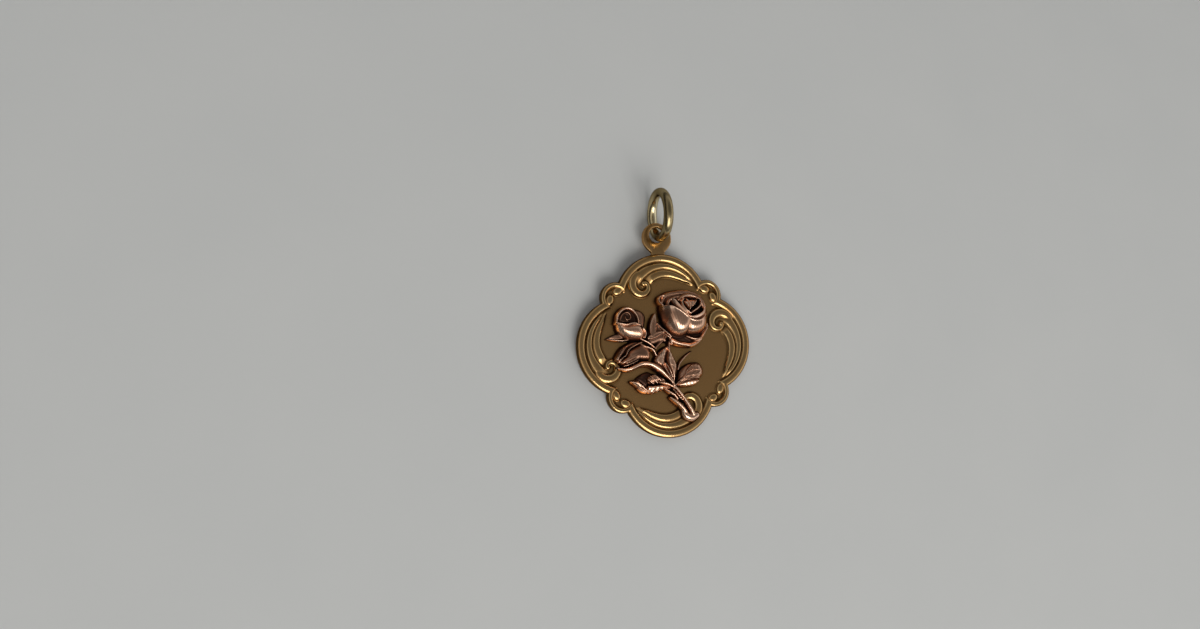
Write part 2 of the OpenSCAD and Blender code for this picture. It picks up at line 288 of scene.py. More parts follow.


# Spray

# Pads: low rounded shapes with a closed outline. They fall off over the edge's width inside their outline, and
# slope by so much for each mm of x and y from their middle. tone_and_shade darkens them, from 0 to 1, with
# toning and painted shade. fan is the point x, y that their fine streaks spread from, and the number of streaks
# per radian.
PADS = (
    # Rose base
    dict(high=0.55, slope=(0, 0), edge=0.45, tone_and_shade=0.7, outline=(
        (-0.45, 3.9), (-0.5, 4.9), (0.1, 5.4), (1.0, 5.6), (2.1, 5.85), (3.5, 5.7), (4.5, 5.0), (4.95, 3.8),
        (4.95, 2.4), (4.5, 1.1), (3.6, 0.3), (2.5, -0.1), (1.3, 0.05), (0.4, 0.4), (0.0, 1.2), (-0.4, 2.2),
        (-0.5, 3.1))),
    # Foliage left
    dict(high=0.55, slope=(0.05, -0.05), edge=0.55, tone_and_shade=0.55, fan=(-1.2, -1.4, 12), outline=(
        (-2.45, 0.7), (-2.3, 1.5), (-1.75, 2.1), (-1.2, 2.55), (-0.6, 2.5), (-0.25, 1.7), (0.1, 0.8),
        (0.0, 0.2), (-0.7, 0.25), (-1.5, 0.0), (-2.1, 0.1))),
    # Shoulder
    dict(high=0.62, slope=(-0.1, -0.06), edge=0.65, tone_and_shade=0.35, fan=(-3.0, 0.3, 16), outline=(
        (-3.6, 3.95), (-2.85, 3.92), (-2.35, 3.58), (-2.14, 3.1), (-2.25, 2.45), (-2.45, 1.7), (-3.0, 1.9),
        (-3.4, 2.6))),
    # Foliage low
    dict(high=0.38, slope=(0, 0), edge=0.4, tone_and_shade=0.7, outline=(
        (-4.0, -3.6), (-3.3, -3.05), (-2.4, -2.75), (-1.9, -3.1), (-2.4, -3.8), (-2.5, -4.5), (-3.0, -4.3),
        (-3.5, -3.9))),
    # Dark leaf, upper half
    dict(high=1.0, slope=(0.12, -0.22), edge=0.5, tone_and_shade=0.75, fan=(-1.5, -0.3, 16), outline=(
        (-3.0, 0.42), (-3.7, 0.55), (-4.4, 0.45), (-5.4, -0.05), (-6.05, -0.9), (-6.2, -1.4), (-5.75, -1.6),
        (-5.3, -1.15), (-4.9, -0.75), (-4.5, -0.28), (-3.7, 0.1))),
    # Dark leaf, lower half
    dict(high=1.05, slope=(-0.04, -0.12), edge=0.65, tone_and_shade=0.55, fan=(-1.0, 0.2, 14), outline=(
        (-3.0, 0.32), (-3.8, 0.05), (-4.6, -0.36), (-4.95, -0.9), (-5.45, -1.3), (-5.75, -1.65),
        (-5.3, -2.05), (-4.4, -1.85), (-3.6, -1.58), (-2.7, -1.65), (-2.1, -1.55), (-1.92, -0.9),
        (-2.05, -0.35), (-2.5, 0.1))),
    # Middle leaf, left half
    dict(high=0.95, slope=(0.16, 0.02), edge=0.5, tone_and_shade=0.1, fan=(0.4, -5.6, 26), outline=(
        (0.35, -4.3), (-0.1, -3.7), (-0.7, -2.75), (-1.5, -2.15), (-1.8, -1.65), (-1.4, -1.0), (-0.8, -0.4),
        (-0.1, -0.12), (-0.1, -0.8), (-0.35, -1.8), (-0.1, -2.8), (0.35, -3.8))),
    # Middle leaf, right half
    dict(high=1.05, slope=(-0.16, 0.02), edge=0.5, tone_and_shade=0.2, fan=(0.4, -5.6, 26), outline=(
        (0.42, -4.3), (-0.1, -2.9), (-0.4, -1.8), (-0.25, -0.8), (-0.06, -0.15), (0.3, -0.55), (0.6, -1.1),
        (0.9, -1.75), (1.02, -2.4), (0.8, -3.2))),
    # Right leaf
    dict(high=0.8, slope=(0.0, -0.1), edge=0.75, tone_and_shade=0.2, fan=(-0.4, -4.9, 14), outline=(
        (0.55, -4.4), (0.85, -3.6), (1.05, -3.0), (1.6, -2.45), (2.5, -2.05), (3.5, -2.05), (3.95, -2.45),
        (4.1, -3.1), (3.8, -3.7), (3.1, -4.1), (2.0, -4.3), (1.2, -4.4))),
    # Right leaf, low edge
    dict(high=0.9, slope=(0.0, 0.42), edge=0.3, tone_and_shade=0.0, outline=(
        (0.62, -4.45), (1.15, -4.12), (1.95, -3.92), (2.9, -3.85), (3.5, -3.95), (3.2, -4.35), (2.6, -4.65),
        (1.5, -4.72))),
    # Toothed leaf, upper half
    dict(high=0.78, slope=(0.05, -0.05), edge=0.6, tone_and_shade=0.3, fan=(0.6, -5.3, 16), outline=(
        (0.3, -4.5), (-0.3, -3.85), (-0.9, -3.35), (-1.5, -3.05), (-2.1, -3.0), (-2.65, -3.35), (-2.8, -3.8),
        (-2.6, -4.2), (-1.9, -4.25), (-1.2, -4.15), (-0.5, -4.3))),
    # Toothed leaf, lower half
    dict(high=0.74, slope=(0.0, 0.42), edge=0.3, tone_and_shade=0.05, outline=(
        (0.2, -4.7), (-0.5, -4.35), (-1.2, -4.2), (-2.0, -4.25), (-2.7, -4.3), (-2.75, -4.85), (-2.35, -5.2),
        (-1.9, -5.2), (-1.4, -5.0), (-0.9, -4.85), (-0.3, -4.9))),
    # Pale leaf
    dict(high=0.8, slope=(0.12, 0.26), edge=0.45, tone_and_shade=0.0, fan=(-1.2, -6.2, 16), outline=(
        (-4.65, -3.68), (-3.95, -3.55), (-3.4, -3.75), (-2.95, -4.15), (-2.55, -4.6), (-2.25, -5.15),
        (-2.7, -5.2), (-3.2, -5.0), (-3.75, -4.6), (-4.35, -4.1))),
    # Floor of the heart
    dict(high=1.52, slope=(0.0, -0.22), edge=0.5, tone_and_shade=0.25, fan=(2.55, 2.6, 9), outline=(
        (2.5, 3.25), (3.1, 3.75), (3.6, 4.25), (3.8, 4.7), (3.2, 4.95), (2.5, 4.95), (1.75, 4.8), (1.8, 4.4),
        (2.15, 3.8))),
    # Bud floor
    dict(high=0.7, slope=(0, 0), edge=0.2, tone_and_shade=0.9, outline=(
        (-5.75, 2.5), (-5.6, 3.4), (-5.0, 4.0), (-4.45, 4.2), (-3.8, 3.9), (-3.35, 3.2), (-3.2, 2.4),
        (-4.5, 2.2))),
    # Bud sepal
    dict(high=0.45, slope=(0.1, 0.1), edge=0.2, tone_and_shade=0.4, outline=(
        (-6.85, 0.98), (-6.4, 1.22), (-5.8, 1.42), (-5.2, 1.4), (-4.6, 0.95), (-5.4, 0.72), (-6.1, 0.78))),
    # Bud body
    dict(high=1.4, slope=(0.05, 0.2), edge=1.05, tone_and_shade=0.0, fan=(-4.4, -1.2, 18), outline=(
        (-5.8, 2.5), (-5.72, 1.6), (-5.25, 1.0), (-4.6, 0.62), (-3.9, 0.45), (-3.2, 0.42), (-2.7, 0.62),
        (-2.4, 1.2), (-2.5, 1.9), (-2.9, 2.4), (-3.5, 2.6), (-4.1, 2.6), (-4.65, 2.55), (-5.25, 2.68))),
)

STREAK_H = 0.018
# Streaks of a petal, as a share of its height
PETAL_STREAKS = 0.2
# How steeply a pad falls off
PAD_SIDES = 0.6

# Petals: each stands highest along its lip, falls off over its reach on the left of the lip's run, and steeply
# over a small distance behind it. Rows are x, y, reach, height. within rounds it off: edge and outline.
# tone_and_shade darkens a petal with toning and with painted shade where it lies in shade
PETALS = (
    # Rose back
    dict(behind=0.5, tone_and_shade=0.45, rows=(
        (-0.35, 4.6, 0.3, 0.85), (0.1, 5.2, 0.45, 0.95), (1.0, 5.45, 0.45, 1.0), (2.1, 5.5, 0.5, 1.05),
        (3.2, 5.35, 0.5, 1.05), (4.05, 4.9, 0.5, 1.0), (4.5, 4.1, 0.45, 0.95), (4.68, 3.2, 0.35, 0.9),
        (4.66, 2.4, 0.3, 0.8))),
    # Rose upper left
    dict(behind=0.35, tone_and_shade=0.3, rows=(
        (0.2, 4.3, 0.3, 1.15), (0.45, 4.78, 0.34, 1.22), (1.05, 5.06, 0.36, 1.25), (1.7, 5.16, 0.35, 1.25))),
    # Rose inner back
    dict(behind=0.35, tone_and_shade=0.3, rows=(
        (1.35, 4.75, 0.3, 1.45), (1.85, 5.05, 0.4, 1.5), (2.6, 5.15, 0.45, 1.5), (3.4, 5.0, 0.4, 1.45),
        (4.0, 4.6, 0.35, 1.35), (4.25, 4.0, 0.3, 1.25))),
    # Rose right outer
    dict(behind=0.14, tone_and_shade=0.0, rows=(
        (4.35, 4.55, 0.4, 1.05), (4.45, 3.95, 0.5, 1.2), (4.2, 3.45, 0.65, 1.45), (3.75, 3.15, 0.8, 1.6),
        (3.2, 2.95, 0.8, 1.7), (2.6, 2.9, 0.6, 1.72), (2.2, 3.05, 0.4, 1.7))),
    # Rose left inner
    dict(behind=0.16, tone_and_shade=0.1, rows=(
        (2.25, 3.1, 0.5, 1.78), (1.8, 3.65, 0.8, 1.8), (1.35, 4.2, 0.8, 1.7), (0.95, 4.8, 0.6, 1.5))),
    # Heart right
    dict(behind=0.14, tone_and_shade=0.0, rows=(
        (3.45, 4.92, 0.3, 1.55), (3.84, 4.62, 0.32, 1.68), (3.8, 4.2, 0.36, 1.78), (3.42, 3.8, 0.4, 1.86),
        (2.95, 3.52, 0.38, 1.88), (2.52, 3.24, 0.32, 1.88))),
    # Heart left
    dict(behind=0.14, tone_and_shade=0.0, rows=(
        (2.54, 3.22, 0.32, 1.86), (2.12, 3.58, 0.36, 1.88), (1.78, 4.05, 0.36, 1.82), (1.7, 4.5, 0.3, 1.72),
        (1.95, 4.85, 0.26, 1.6))),
    # Rose front right
    dict(behind=0.13, tone_and_shade=0.0, fan=(3.0, -1.6, 15), rows=(
        (5.1, 3.6, 4.0, 1.3), (4.68, 3.2, 4.0, 1.42), (4.15, 2.75, 4.0, 1.6), (3.55, 2.48, 4.0, 1.74),
        (2.9, 2.48, 4.0, 1.82), (2.2, 2.78, 4.0, 1.84)), within=(1.15, (
            (4.95, 3.6), (4.98, 2.6), (4.75, 1.75), (4.2, 1.15), (3.3, 0.85), (2.4, 0.9), (1.7, 1.5),
            (1.2, 3.0), (2.0, 4.3), (4.2, 4.4)))),
    # Rose front left
    dict(behind=0.13, tone_and_shade=0.0, fan=(2.0, -1.3, 15), rows=(
        (2.15, 2.86, 4.0, 1.98), (1.65, 3.3, 4.0, 2.0), (1.05, 3.74, 4.0, 1.98), (0.4, 4.08, 4.0, 1.88),
        (-0.2, 4.15, 4.0, 1.75), (-0.9, 4.05, 4.0, 1.6)), within=(1.35, (
            (-0.62, 4.4), (-0.68, 3.4), (-0.5, 2.5), (-0.1, 1.7), (0.45, 1.05), (1.15, 0.72), (1.95, 0.78),
            (2.65, 1.25), (3.15, 2.1), (3.6, 3.3), (2.8, 4.8), (0.9, 5.6), (-0.4, 5.4)))),
    # Rose low inner
    dict(behind=0.25, tone_and_shade=0.0, rows=(
        (4.75, 1.6, 0.18, 0.8), (4.1, 0.75, 0.24, 0.9), (3.6, 0.48, 0.26, 0.95), (2.95, 0.52, 0.26, 0.95),
        (2.25, 0.8, 0.2, 0.85))),
    # Rose low outer
    dict(behind=0.45, tone_and_shade=0.0, rows=(
        (4.9, 1.9, 0.15, 0.65), (4.3, 0.85, 0.2, 0.75), (3.6, 0.14, 0.25, 0.8), (2.75, -0.2, 0.28, 0.85),
        (1.9, -0.08, 0.3, 0.88), (1.1, 0.12, 0.34, 0.9), (0.45, 0.45, 0.3, 0.85))),
    # Bud cup
    dict(behind=0.3, tone_and_shade=0.6, rows=(
        (-5.72, 2.6, 0.16, 0.95), (-5.52, 3.35, 0.22, 1.05), (-5.03, 3.88, 0.26, 1.1),
        (-4.47, 4.08, 0.28, 1.12), (-3.93, 3.9, 0.28, 1.12), (-3.5, 3.42, 0.26, 1.1),
        (-3.28, 2.9, 0.24, 1.05), (-3.2, 2.45, 0.2, 0.95))),
    # Bud front
    dict(behind=0.16, tone_and_shade=0.15, rows=(
        (-3.1, 2.25, 0.25, 1.1), (-3.7, 2.45, 0.3, 1.22), (-4.2, 2.42, 0.3, 1.28), (-4.65, 2.32, 0.3, 1.26),
        (-5.25, 2.45, 0.28, 1.2), (-5.75, 2.58, 0.22, 1.05))),
)
# Raised bead along every lip
LIP_H = 0.06
LIP_W = 0.08

# Leaves: base x, y, tip x, y, width left and right of the midrib, bow, height at base and tip, puff, painted
# shade and tone
LEAVES = (
    (-1.7, 0.9, -1.15, 3.5, 0.5, 0.55, 0.05, 0.66, 0.55, 0.12, 0.45),
    (-2.3, 0.75, -0.2, 1.45, 0.34, 0.46, 0.08, 0.68, 0.62, 0.12, 0.45),
)
VEINS = 7.0
VEIN_LEAN = 1.6
VEIN_H = 0.018
MIDRIB_H = 0.07
MIDRIB_W = 0.07
# How fast the veins fade towards the midrib and towards the edge
VEIN_FADES = (4, 5)
# Share of a leaf's half width over which its edge falls off, and the powers of its outline along and across
LEAF_EDGE = 0.38
LEAF_POWERS = (0.8, 0.75)

# Ribs, stems and rolled edges: painted shade and tone, then rows of x, y, half width, height
RIDGES = (
    # Blade that curves over the middle
    (0, ((-5.95, -2.12, 0.1, 0.45), (-5.65, -2.28, 0.18, 0.65), (-5.05, -2.44, 0.26, 0.85),
        (-4.44, -2.38, 0.32, 0.98), (-3.85, -2.16, 0.34, 1.02), (-3.19, -1.94, 0.36, 1.05),
        (-2.49, -1.95, 0.37, 1.08), (-1.98, -2.1, 0.38, 1.1), (-1.48, -2.42, 0.4, 1.1),
        (-0.98, -2.8, 0.36, 1.08), (-0.49, -3.32, 0.28, 1.02), (-0.01, -3.87, 0.2, 0.98),
        (0.3, -4.38, 0.16, 0.95))),
    (0, ((-5.75, -1.62, 0.17, 0.95), (-5.44, -1.28, 0.1, 1.12), (-4.93, -0.88, 0.09, 1.25),
        (-4.63, -0.34, 0.1, 1.3), (-3.9, 0.05, 0.1, 1.28), (-3.05, 0.36, 0.1, 1.15))),
    (0, ((-5.2, -2.08, 0.07, 0.95), (-4.4, -1.86, 0.08, 1.1), (-3.6, -1.54, 0.07, 1.12))),
    (0.2, ((-4.85, -1.8, 0.05, 1.05), (-4.1, -1.52, 0.06, 1.14), (-3.4, -1.25, 0.05, 1.14))),
    # Middle leaf
    (0, ((-0.9, -1.95, 0.06, 1.05), (-0.4, -2.85, 0.08, 1.16), (0.17, -3.88, 0.08, 1.16),
        (0.36, -4.4, 0.08, 1.1))),
    (0, ((-0.5, -1.95, 0.06, 1.15), (-0.17, -2.62, 0.09, 1.24), (0.2, -3.55, 0.06, 1.14))),
    (0, ((-0.55, -0.45, 0.05, 0.95), (-0.85, -1.1, 0.06, 1.02), (-0.88, -1.6, 0.06, 1.04),
        (-0.75, -2.1, 0.05, 1.08))),
    (0, ((-0.14, -0.25, 0.12, 1.0), (0.0, -0.62, 0.17, 1.2))),
    (0, ((0.05, -1.4, 0.05, 1.16), (0.45, -1.75, 0.05, 1.08))),
    (0, ((0.15, -2.1, 0.05, 1.16), (0.6, -2.4, 0.05, 1.06))),
    # Right leaf
    (0, ((0.55, -4.35, 0.08, 0.95), (1.25, -3.78, 0.08, 1.05), (1.85, -3.25, 0.07, 1.04),
        (2.7, -2.75, 0.06, 0.98))),
    (0.1, ((1.55, -3.55, 0.06, 0.96), (2.5, -3.4, 0.07, 0.98), (3.5, -3.35, 0.06, 0.9))),
    (0.1, ((1.35, -3.72, 0.06, 0.94), (2.4, -3.74, 0.07, 0.94), (3.4, -3.72, 0.06, 0.88))),
    (0.1, ((1.75, -3.25, 0.06, 0.98), (2.1, -2.7, 0.06, 0.98), (2.7, -2.35, 0.05, 0.9))),
    (0.1, ((2.2, -3.0, 0.06, 1.0), (2.9, -2.85, 0.06, 0.96), (3.7, -2.8, 0.05, 0.88))),
    (0, ((1.65, -4.15, 0.06, 0.98), (1.75, -4.55, 0.05, 0.86))),
    (0, ((2.0, -4.1, 0.07, 1.0), (2.15, -4.52, 0.06, 0.88))),
    (0, ((2.35, -4.05, 0.07, 1.0), (2.55, -4.5, 0.06, 0.88))),
    (0, ((2.7, -4.02, 0.07, 1.0), (2.92, -4.4, 0.06, 0.88))),
    (0, ((3.05, -4.0, 0.06, 0.98), (3.25, -4.25, 0.05, 0.88))),
    # Toothed leaf
    (0, ((-1.4, -4.0, 0.1, 0.95), (-0.95, -4.08, 0.2, 1.15), (-0.4, -4.26, 0.23, 1.2),
        (0.1, -4.52, 0.18, 1.15), (0.35, -4.72, 0.12, 1.05))),
    (0.1, ((-1.0, -3.95, 0.06, 0.9), (-1.5, -3.45, 0.08, 0.96), (-1.85, -3.15, 0.07, 0.88))),
    (0.1, ((-1.5, -4.05, 0.06, 0.9), (-2.0, -3.6, 0.09, 0.96), (-2.3, -3.25, 0.07, 0.88))),
    (0.1, ((-1.9, -4.15, 0.06, 0.88), (-2.35, -3.85, 0.09, 0.94), (-2.65, -3.6, 0.07, 0.86))),
    (0.1, ((-0.6, -4.0, 0.05, 0.92), (-0.95, -3.6, 0.06, 0.92))),
    (0, ((-1.7, -4.45, 0.08, 0.86), (-2.0, -4.85, 0.12, 0.88), (-2.15, -5.15, 0.09, 0.72))),
    (0, ((-1.25, -4.45, 0.08, 0.86), (-1.48, -4.75, 0.11, 0.88), (-1.6, -5.0, 0.08, 0.72))),
    (0, ((-0.8, -4.5, 0.07, 0.84), (-1.05, -4.72, 0.09, 0.84), (-1.12, -4.9, 0.07, 0.7))),
    (0, ((-2.1, -4.45, 0.06, 0.8), (-2.45, -4.8, 0.09, 0.82))),
    # Pale leaf
    (0, ((-4.55, -3.75, 0.06, 0.75), (-3.7, -4.0, 0.08, 0.95), (-3.0, -4.6, 0.08, 0.92),
        (-2.5, -5.1, 0.06, 0.75))),
    (0, ((-3.75, -4.52, 0.12, 0.75), (-3.3, -4.82, 0.2, 0.92), (-2.9, -5.0, 0.14, 0.8))),
    # Bud
    (0, ((-6.85, 0.92, 0.07, 0.4), (-6.1, 0.78, 0.11, 0.62), (-5.3, 0.66, 0.13, 0.78), (-4.5, 0.68, 0.1, 0.8))),
    (0, ((-2.95, 2.02, 0.1, 1.02), (-2.6, 1.72, 0.13, 1.02), (-2.45, 1.3, 0.14, 0.98),
        (-2.62, 0.85, 0.12, 0.9))),
    (0, ((-3.3, 2.28, 0.13, 1.05), (-3.02, 2.22, 0.15, 1.02))),
    (0.3, ((-5.25, 2.95, 0.11, 0.95), (-4.98, 3.42, 0.12, 1.02), (-4.5, 3.62, 0.12, 1.05),
        (-4.1, 3.32, 0.12, 1.02), (-4.2, 2.92, 0.11, 1.04), (-4.6, 2.88, 0.11, 1.06),
        (-4.66, 3.18, 0.09, 1.02))),
    (0.3, ((-5.3, 2.78, 0.08, 0.9), (-4.85, 2.72, 0.09, 0.96), (-4.3, 2.68, 0.08, 0.96))),
    (0.1, ((-5.45, 2.05, 0.07, 0.85), (-5.1, 1.7, 0.08, 1.02), (-4.8, 1.25, 0.06, 1.02))),
    (0.1, ((-5.15, 2.12, 0.07, 0.98), (-4.75, 1.72, 0.08, 1.2), (-4.5, 1.35, 0.06, 1.2))),
    # Fold in the rose's heart, then the curl and edges at its left
    (0.1, ((2.28, 4.78, 0.16, 1.62), (2.55, 4.42, 0.2, 1.72), (2.62, 4.0, 0.18, 1.72),
        (2.56, 3.68, 0.14, 1.7))),
    (0.1, ((3.4, 4.62, 0.14, 1.62), (3.18, 4.28, 0.17, 1.7), (2.88, 4.02, 0.14, 1.68))),
    (0.2, ((-0.32, 4.28, 0.17, 1.1), (-0.66, 4.68, 0.15, 1.0), (-0.62, 5.1, 0.16, 0.98),
        (-0.2, 5.34, 0.16, 0.96), (0.25, 5.2, 0.15, 0.9))),
    (0, ((-1.0, 2.45, 0.1, 0.6), (-0.7, 1.95, 0.14, 0.8), (-0.26, 1.5, 0.15, 0.95), (0.12, 1.15, 0.15, 0.98),
        (0.42, 0.82, 0.13, 0.95))),
    (0, ((-0.45, 1.35, 0.08, 0.8), (-0.05, 0.98, 0.12, 0.95), (0.3, 0.66, 0.13, 0.95),
        (0.42, 0.28, 0.14, 0.9), (0.5, 0.0, 0.12, 0.85))),
    # Stems
    (0, ((-3.05, 0.7, 0.13, 0.9), (-2.44, 0.42, 0.18, 0.95), (-1.95, 0.1, 0.16, 0.9),
        (-1.5, -0.25, 0.12, 0.75))),
    (0, ((-3.1, 0.22, 0.1, 0.8), (-2.6, -0.08, 0.15, 0.85), (-2.1, -0.26, 0.15, 0.85),
        (-1.65, -0.55, 0.14, 0.75), (-1.3, -1.2, 0.14, 0.6))),
    (0.4, ((0.28, 0.3, 0.22, 0.62), (0.2, -0.6, 0.2, 0.6), (0.35, -2.2, 0.2, 0.6), (0.4, -4.3, 0.2, 0.62))),
    (0.5, ((-1.3, -0.3, 0.2, 0.5), (-0.75, 0.25, 0.22, 0.55), (-0.1, 0.85, 0.2, 0.6))),
    (0.1, ((0.3, -4.4, 0.26, 0.95), (0.95, -5.2, 0.3, 0.95), (1.5, -6.0, 0.32, 0.92),
        (2.05, -6.9, 0.34, 0.9), (2.4, -7.6, 0.4, 0.82))),
    (0, ((0.4, -4.66, 0.07, 1.06), (0.94, -5.33, 0.08, 1.08), (1.5, -6.03, 0.07, 1.04))),
    (0, ((0.2, -4.8, 0.06, 1.04), (0.72, -5.45, 0.07, 1.06), (1.2, -6.05, 0.06, 1.0))),
    (0, ((-0.1, -5.7, 0.18, 0.72), (0.3, -6.02, 0.26, 0.86), (0.75, -6.4, 0.3, 0.92), (1.3, -7.0, 0.32, 0.9),
        (1.6, -7.5, 0.38, 0.8))),
    (0.1, ((-0.62, -4.78, 0.14, 0.62), (-0.15, -5.1, 0.24, 0.8), (0.3, -5.4, 0.22, 0.86),
        (0.7, -5.9, 0.14, 0.8))),
    (0, ((2.9, -0.8, 0.08, 0.35), (2.0, -1.38, 0.13, 0.55), (1.3, -2.1, 0.15, 0.62), (1.05, -2.7, 0.15, 0.62))),
    (0, ((1.25, -7.15, 0.34, 0.78), (1.55, -7.7, 0.5, 0.84), (2.2, -7.95, 0.55, 0.78),
        (2.85, -7.75, 0.42, 0.68))),
)
# Patches of painted shade where parts of the spray lie in shade: x, y, radius, tone
SHADE_PATCHES = (
    (-0.35, 3.0, 1.15, 0.75),
    (1.6, 5.5, 1.5, 0.6),
    (3.6, 5.2, 1.2, 0.5),
    (-4.4, 3.3, 1.3, 0.6),
    (-2.6, 3.0, 1.0, 0.5),
    (-5.0, -0.3, 1.5, 0.75),
    (-3.2, -0.6, 1.4, 0.75),
    (-2.9, -3.5, 1.0, 0.7),
    (2.6, 0.6, 1.0, 0.5),
    (2.9, -2.5, 0.9, 0.3),
    (-1.3, 1.2, 1.1, 0.5),
    (1.6, -5.4, 0.9, 0.4),
)
# Shares of a patch's radius between which it fades out
SHADE_PATCH_FADE = (0.3, 1.0)
SPRAY_MIN = (-7.5, -9.0)
SPRAY_MAX = (5.7, 6.7)
SPRAY_STEP = 0.04
# Height above which a point belongs to the spray, and its least thickness
SPRAY_FOOT = 0.10
SPRAY_LEAST = 0.05
SEAT_GAP = 0.02
# How far round its points a shape can stand above the seat
SHAPE_REACH = 1.0
# Share of the blurred height in the spray's height, and how often its outline is smoothed
SPRAY_SOFT = 0.6
OUTLINE_PASSES = 6
# Blurs of the spray's surroundings, of its tables' toning and painted shade, and of its edge, in grid cells
SUNK_BLUR, TABLE_BLUR, EDGE_BLUR = 7, 3, 4
# How much toning the spray's plain metal has, its toning per mm that a point lies below its surroundings, the
# share that the tables' toning and shade have, and the painted shade at its edge and low on its flanks
SPRAY_TONE = 0.26
SPRAY_SUNK_TONE = 2.0
TABLE_TONE_AND_SHADE = 0.6
EDGE_SHADE = 1.35
EDGE_FULL = 0.92
FLANK_SHADE = 0.5
FLANK_H = (0.25, 0.65)


def depth_inside(x, y, outline):
    """Distance of each point to a closed outline, or 0 outside it."""
    away = np.full(x.shape, 99.0)
    within = np.zeros(x.shape, bool)
    for a, b in zip(outline, np.roll(outline, -1, axis=0)):
        _, dx, dy = from_segment(x, y, a, b)
        away = np.minimum(away, np.hypot(dx, dy))
        if a[1] != b[1]:
            crosses = (a[1] > y) != (b[1] > y)
            within ^= crosses & (x < a[0] + (y - a[1]) * (b[0] - a[0]) / (b[1] - a[1]))
    return np.where(within, away, 0)


def rounded_off(x, y, outline, edge):
    """How far into the fall at an outline's edge a point is: 1 at the outline, 0 from the edge's width on."""
    return 1 - np.clip(depth_inside(x, y, closed_curve(outline)) / edge, 0, 1)


def streaks(x, y, fan):
    """Fine streaks that spread from a point."""
    return STREAK_H * np.cos(2 * np.pi * fan[2] * np.arctan2(x - fan[0], y - fan[1]))


def pad(x, y, row):
    """Height of a pad."""
    middle = closed_curve(row["outline"]).mean(0)
    high = row["high"] + row["slope"][0] * (x - middle[0]) + row["slope"][1] * (y - middle[1])
    if "fan" in row:
        high = high + streaks(x, y, row["fan"])
    fall = rounded_off(x, y, row["outline"], row["edge"])
    return high * (1 - fall * fall) ** PAD_SIDES


def petal(x, y, row):
    """Height of one petal, from the nearest point of its lip."""
    nearest = np.full(x.shape, 99.0)
    z = np.zeros_like(x)
    table = curve_through(row["rows"])
    for a, b in zip(table[:-1], table[1:]):
        s, dx, dy = from_segment(x, y, a, b)
        away = np.hypot(dx, dy)
        outside = (b[0] - a[0]) * dy > (b[1] - a[1]) * dx
        q = away / np.where(outside, a[2] + s * (b[2] - a[2]), row["behind"])
        high = (a[3] + s * (b[3] - a[3])) * round_top(q)
        high = high + np.where(q < 1, LIP_H * np.exp(-((away / LIP_W) ** 2)), 0)
        closer = away < nearest
        z = np.where(closer, high, z)
        nearest = np.minimum(nearest, away)
    if "within" in row:
        edge, outline = row["within"]
        z = z * round_top(rounded_off(x, y, outline, edge))
    if "fan" in row:
        z = z * (1 + PETAL_STREAKS * streaks(x, y, row["fan"]))
    return z


def leaf(x, y, row):
    """Height of one small leaf: two puffed halves, a raised midrib and side veins."""
    x0, y0, x1, y1, left, right, bow, low, tip, puff = row
    long = math.hypot(x1 - x0, y1 - y0)
    ex, ey = (x1 - x0) / long, (y1 - y0) / long
    s = ((x - x0) * ex + (y - y0) * ey) / long
    t = (y - y0) * ex - (x - x0) * ey - 4 * bow * s * (1 - s)
    along = np.clip(s, 1e-4, 1 - 1e-4)
    wide = np.sin(np.pi * along ** LEAF_POWERS[0]) ** LEAF_POWERS[1]
    q = np.abs(t) / (np.where(t > 0, left, right) * wide)
    qc = np.clip(q, 0, 1)
    z = low + (tip - low) * along + 4 * puff * qc * (1 - qc)
    z = z + MIDRIB_H * np.exp(-((t / MIDRIB_W) ** 2))
    veins = np.cos(2 * np.pi * (along * VEINS - VEIN_LEAN * qc))
    z = z + VEIN_H * veins * np.clip(qc * VEIN_FADES[0], 0, 1) * np.clip((1 - qc) * VEIN_FADES[1], 0, 1)
    z = z * round_top(np.clip((qc - (1 - LEAF_EDGE)) / LEAF_EDGE, 0, 1))
    return np.where((s > 0) & (s < 1) & (q < 1), z, 0)


def spray_height(x, y):
    """Height of the spray above its seat, and how dark it is with toning and painted shade."""
    z, tone_and_shade = np.zeros_like(x), np.zeros_like(x)

    def add(points, dark, shape):
        """Adds a shape where it is higher than the others, near the given points."""
        points = np.asarray(points)[:, :2]
        lo, hi = points.min(0) - SHAPE_REACH, points.max(0) + SHAPE_REACH
        near = (x > lo[0]) & (x < hi[0]) & (y > lo[1]) & (y < hi[1])
        new = shape(x[near], y[near])
        higher = new > z[near]
        z[near] = np.where(higher, new, z[near])
        tone_and_shade[near] = np.where(higher, dark, tone_and_shade[near])

    for row in PADS:
        add(row["outline"], row["tone_and_shade"], lambda u, v: pad(u, v, row))
    for *row, dark in LEAVES:
        add((row[:2], row[2:4]), dark, lambda u, v: leaf(u, v, row))
    for dark, rows in RIDGES:
        add(rows, dark, lambda u, v: ridge(u, v, curve_through(rows)))
    for row in PETALS:
        points = row["within"][1] if "within" in row else row["rows"]
        add(points, row["tone_and_shade"], lambda u, v: petal(u, v, row))
    # Patches of painted shade
    for at_x, at_y, radius, dark in SHADE_PATCHES:
        away = np.hypot(x - at_x, y - at_y) / radius
        tone_and_shade = np.maximum(tone_and_shade, dark * (1 - smooth(*SHADE_PATCH_FADE, away)))
    return z, tone_and_shade


def blurred(a, radius, passes=2):
    """Box blur of a grid over so many cells each way, repeated."""
    for _ in range(passes):
        for axis in (0, 1):
            n = a.shape[axis]
            margins = [(radius + 1, radius) if k == axis else (0, 0) for k in (0, 1)]
            c = np.cumsum(np.pad(a, margins, mode="edge"), axis=axis)
            width = 2 * radius + 1
            a = (np.take(c, range(width, width + n), axis) - np.take(c, range(n), axis)) / width
    return a


